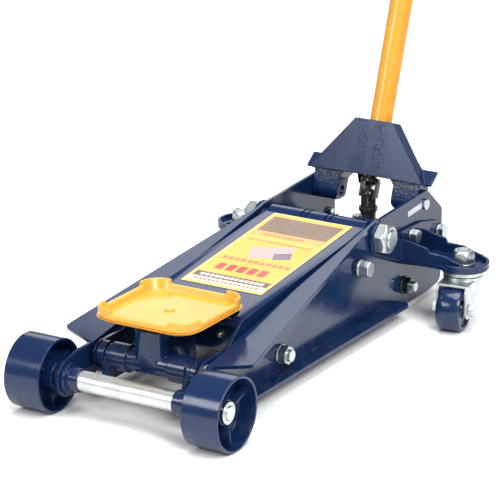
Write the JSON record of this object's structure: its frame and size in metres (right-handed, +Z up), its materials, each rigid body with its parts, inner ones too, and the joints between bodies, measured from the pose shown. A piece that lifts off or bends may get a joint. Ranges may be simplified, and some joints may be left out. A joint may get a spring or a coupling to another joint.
{
  "type": "car jack",
  "caption": "Low steel trolley jack with a hydraulic ram, hinged lift arm, round-cornered dished saddle kept level by rods, swivel rear casters and a long pump handle.",
  "frame": {"origin": "centre of the footprint box on the floor", "axes": "+X towards the saddle end, +Y to the jack's left side, +Z up"},
  "size_m": [1.0154, 0.4168, 1.154],
  "materials": {
    "blue_enamel": "gloss navy enamel",
    "yellow_enamel": "gloss yellow enamel",
    "zinc_plate": "bright zinc plating",
    "black_oxide": "oiled black oxide",
    "ground_steel": "ground",
    "spring_steel": "oiled",
    "grip_rubber": "ribbed",
    "printed_film": "printed film",
    "blank_film": "blank film"
  },
  "bodies": {
    "chassis": {"side_plate_left": "blue_enamel", "side_plate_right": "blue_enamel", "front_axle": "zinc_plate", "axle_collar_left": "blue_enamel", "axle_collar_right": "blue_enamel", "spread_rod": "zinc_plate", "lift_shaft": "zinc_plate", "lift_nut_left": "zinc_plate", "lift_nut_right": "zinc_plate", "stop_bolt_left": "zinc_plate", "stop_bolt_right": "zinc_plate", "unit_bolt_left": "zinc_plate", "unit_bolt_right": "zinc_plate", "rod_pin_left": "zinc_plate", "rod_pin_right": "zinc_plate", "caster_bracket_left": "blue_enamel", "caster_bracket_right": "blue_enamel", "bracket_bolt_front_left": "zinc_plate", "bracket_bolt_front_right": "zinc_plate", "bracket_bolt_rear_left": "zinc_plate", "bracket_bolt_rear_right": "zinc_plate", "kingpin_nut_left": "zinc_plate", "kingpin_nut_right": "zinc_plate", "data_label": "blank_film", "pump_block": "blue_enamel", "ram_cylinder": "black_oxide", "filler_plug": "zinc_plate", "yoke_pin_left": "zinc_plate", "yoke_pin_right": "zinc_plate", "return_spring_left": "spring_steel", "return_spring_right": "spring_steel", "plunger_spring": "spring_steel"},
    "wheel_left": {"front_wheel_left": "blue_enamel"},
    "wheel_right": {"front_wheel_right": "blue_enamel"},
    "caster_left": {"caster_fork_left": "zinc_plate", "caster_axle_left": "zinc_plate"},
    "roll_left": {"caster_wheel_left": "blue_enamel"},
    "caster_right": {"caster_fork_right": "zinc_plate", "caster_axle_right": "zinc_plate"},
    "roll_right": {"caster_wheel_right": "blue_enamel"},
    "arm": {"lift_arm": "blue_enamel", "arm_decal": "printed_film", "horn_roller": "ground_steel", "saddle_pin": "blue_enamel"},
    "saddle_mount": {"saddle_bracket": "blue_enamel"},
    "saddle": {"saddle": "yellow_enamel", "saddle_screw": "zinc_plate"},
    "levelling_rods": {"levelling_rod_left": "zinc_plate", "levelling_rod_right": "zinc_plate"},
    "ram": {"ram_rod": "ground_steel"},
    "yoke": {"yoke_casting": "blue_enamel", "yoke_cover": "blue_enamel", "pump_roller": "ground_steel"},
    "plunger": {"pump_plunger": "ground_steel"},
    "handle": {"handle_lower": "yellow_enamel", "handle_upper": "yellow_enamel", "handle_grip": "grip_rubber", "joint_upper_fork": "black_oxide"},
    "valve": {"valve_stem": "black_oxide"}
  },
  "joints": [
    {"name": "front_wheel_left_spin", "type": "hinge", "parent": "chassis", "child": "wheel_left", "pos_m": [0.46019, 0.1282, 0.0475], "axis": [0, 1, 0], "continuous": true},
    {"name": "front_wheel_right_spin", "type": "hinge", "parent": "chassis", "child": "wheel_right", "pos_m": [0.46019, -0.1282, 0.0475], "axis": [0, 1, 0], "continuous": true},
    {"name": "caster_left_swivel", "type": "hinge", "parent": "chassis", "child": "caster_left", "pos_m": [-0.09781, 0.173, 0.07], "axis": [0, 0, 1], "continuous": true},
    {"name": "caster_left_roll", "type": "hinge", "parent": "caster_left", "child": "roll_left", "pos_m": [-0.06161, 0.1777, 0.03], "axis": [-0.1288, 0.9917, 0], "continuous": true},
    {"name": "caster_right_swivel", "type": "hinge", "parent": "chassis", "child": "caster_right", "pos_m": [-0.09781, -0.173, 0.07], "axis": [0, 0, 1], "continuous": true},
    {"name": "caster_right_roll", "type": "hinge", "parent": "caster_right", "child": "roll_right", "pos_m": [-0.06161, -0.1777, 0.03], "axis": [0.1288, 0.9917, 0], "continuous": true},
    {"name": "arm_lift", "type": "hinge", "parent": "chassis", "child": "arm", "pos_m": [-0.00981, 0, 0.129], "axis": [0, -1, 0], "range_deg": [0, 58]},
    {"name": "saddle_level", "type": "hinge", "parent": "arm", "child": "saddle_mount", "pos_m": [0.40719, 0, 0.067], "axis": [0, -1, 0], "range_deg": [-58, 0]},
    {"name": "saddle_turn", "type": "hinge", "parent": "saddle_mount", "child": "saddle", "pos_m": [0.36719, 0, 0.124], "axis": [0, 0, 1], "continuous": true},
    {"name": "rod_swing", "type": "hinge", "parent": "chassis", "child": "levelling_rods", "pos_m": [0.00419, 0, 0.103], "axis": [0, -1, 0], "range_deg": [0, 58]},
    {"name": "ram_extend", "type": "slide", "parent": "chassis", "child": "ram", "axis": [1, 0, 0], "range_m": [0, 0.049]},
    {"name": "yoke_pump", "type": "hinge", "parent": "chassis", "child": "yoke", "pos_m": [-0.14681, 0, 0.1386], "axis": [0, -1, 0], "range_deg": [0, 50]},
    {"name": "plunger_push", "type": "slide", "parent": "chassis", "child": "plunger", "axis": [0, 0, -1], "range_m": [0, 0.0275], "deforming": ["plunger_spring"]},
    {"name": "handle_twist", "type": "hinge", "parent": "yoke", "child": "handle", "pos_m": [-0.14681, 0, 0.1386], "axis": [-0.3206, 0, 0.9472], "range_deg": [0, 90]},
    {"name": "valve_turn", "type": "hinge", "parent": "chassis", "child": "valve", "pos_m": [-0.14681, 0, 0.11], "axis": [0, 0, 1], "range_deg": [0, 90]}
  ],
  "couplings": [
    {"joint": "saddle_level", "follows": "arm_lift", "ratio": -1},
    {"joint": "rod_swing", "follows": "arm_lift", "ratio": 1},
    {"joint": "ram_extend", "follows": "arm_lift", "m_per_rad": 0.0479},
    {"joint": "plunger_push", "follows": "yoke_pump", "m_per_rad": 0.0306},
    {"joint": "valve_turn", "follows": "handle_twist", "ratio": 1}
  ]
}
